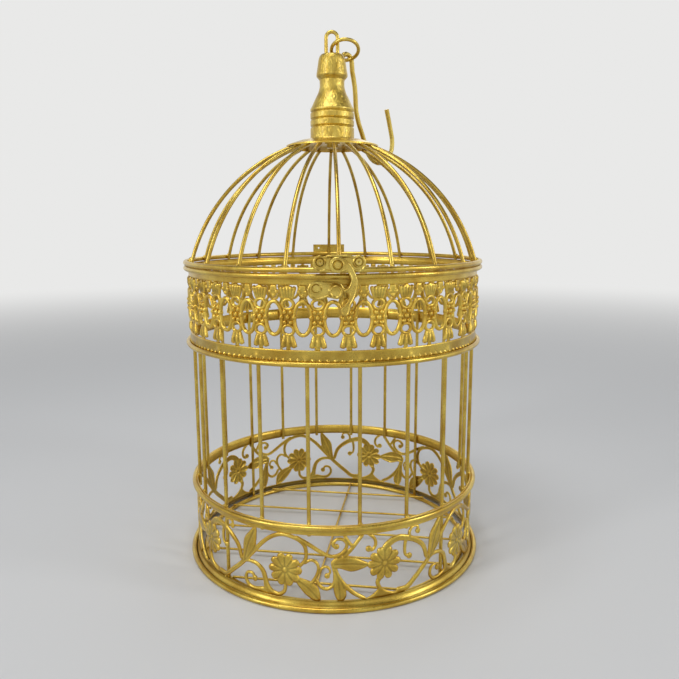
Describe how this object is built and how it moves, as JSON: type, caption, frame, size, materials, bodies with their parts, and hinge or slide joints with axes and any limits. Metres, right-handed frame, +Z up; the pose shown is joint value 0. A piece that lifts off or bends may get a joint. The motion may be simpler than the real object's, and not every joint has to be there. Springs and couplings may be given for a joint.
{
  "type": "wedding card box, round bird cage form",
  "caption": "Round metal bird-cage card box with pierced bands, bars, hinged domed lid, swing latch, turned finial and hanging hook.",
  "frame": {"origin": "on the ground, on the cage's upright axis", "axes": "+Z up, -Y the front with the latch, +Y the back with the hinge"},
  "size_m": [0.2078, 0.2131, 0.3543],
  "materials": {
    "rim_wire": "satin gold spray lacquer on iron wire",
    "bar_wire": "satin gold spray lacquer on iron wire",
    "pressed_sheet": "satin gold spray lacquer on pressed iron sheet",
    "latch_fittings": "satin gold spray lacquer on stamped iron",
    "finial_metal": "satin gold spray lacquer, slightly coarse, on turned metal",
    "hanger_wire": "satin gold spray lacquer on iron wire",
    "small_fasteners": "satin gold spray lacquer on rivets and pins"
  },
  "bodies": {
    "root": {"foot_ring": "rim_wire", "lower_band_rims": "pressed_sheet", "lower_band_vines": "pressed_sheet", "lower_band_ring": "rim_wire", "floor_ring": "rim_wire", "floor_wires": "bar_wire", "floor_cross_wire": "bar_wire", "short_bars": "bar_wire", "long_bars": "bar_wire", "mid_ring": "rim_wire", "upper_band_rims": "pressed_sheet", "upper_band_filigree": "pressed_sheet", "body_rim_ring": "rim_wire", "keeper_plate": "latch_fittings", "keeper_stud": "latch_fittings", "keeper_rivet": "small_fasteners", "hinge_body_leaf": "latch_fittings", "hinge_pin": "small_fasteners", "hinge_body_rivets": "small_fasteners"},
    "lid": {"lid_rim_ring": "rim_wire", "dome_wires": "bar_wire", "crown_cap": "pressed_sheet", "finial": "finial_metal", "eye_loop": "hanger_wire", "finial_screw": "small_fasteners", "screw_washer": "small_fasteners", "latch_plate": "latch_fittings", "latch_eyelets": "small_fasteners", "latch_pivot": "small_fasteners", "hinge_lid_leaf": "latch_fittings", "hinge_lid_eyelets": "small_fasteners"},
    "latch_hook": {"latch_hook": "latch_fittings"},
    "hanging_ring": {"hanging_ring": "hanger_wire"},
    "hanging_hook": {"hanging_hook": "hanger_wire"}
  },
  "joints": [
    {"name": "lid_hinge", "type": "hinge", "parent": "root", "child": "lid", "pos_m": [0, 0.1036, 0.20235], "axis": [-1, 0, 0], "range_deg": [0, 100]},
    {"name": "latch_swing", "type": "hinge", "parent": "lid", "child": "latch_hook", "pos_m": [-0.0011, -0.1037, 0.20715], "axis": [0, -1, 0], "range_deg": [0, 130]},
    {"name": "ring_lift", "type": "hinge", "parent": "lid", "child": "hanging_ring", "pos_m": [0.00064, 0, 0.34471], "axis": [0, -1, 0], "range_deg": [0, 80]},
    {"name": "hook_swing", "type": "hinge", "parent": "hanging_ring", "child": "hanging_hook", "pos_m": [0.01036, 0.01072, 0.338], "axis": [0.9848, -0.1473, 0.092], "range_deg": [0, 45]}
  ]
}
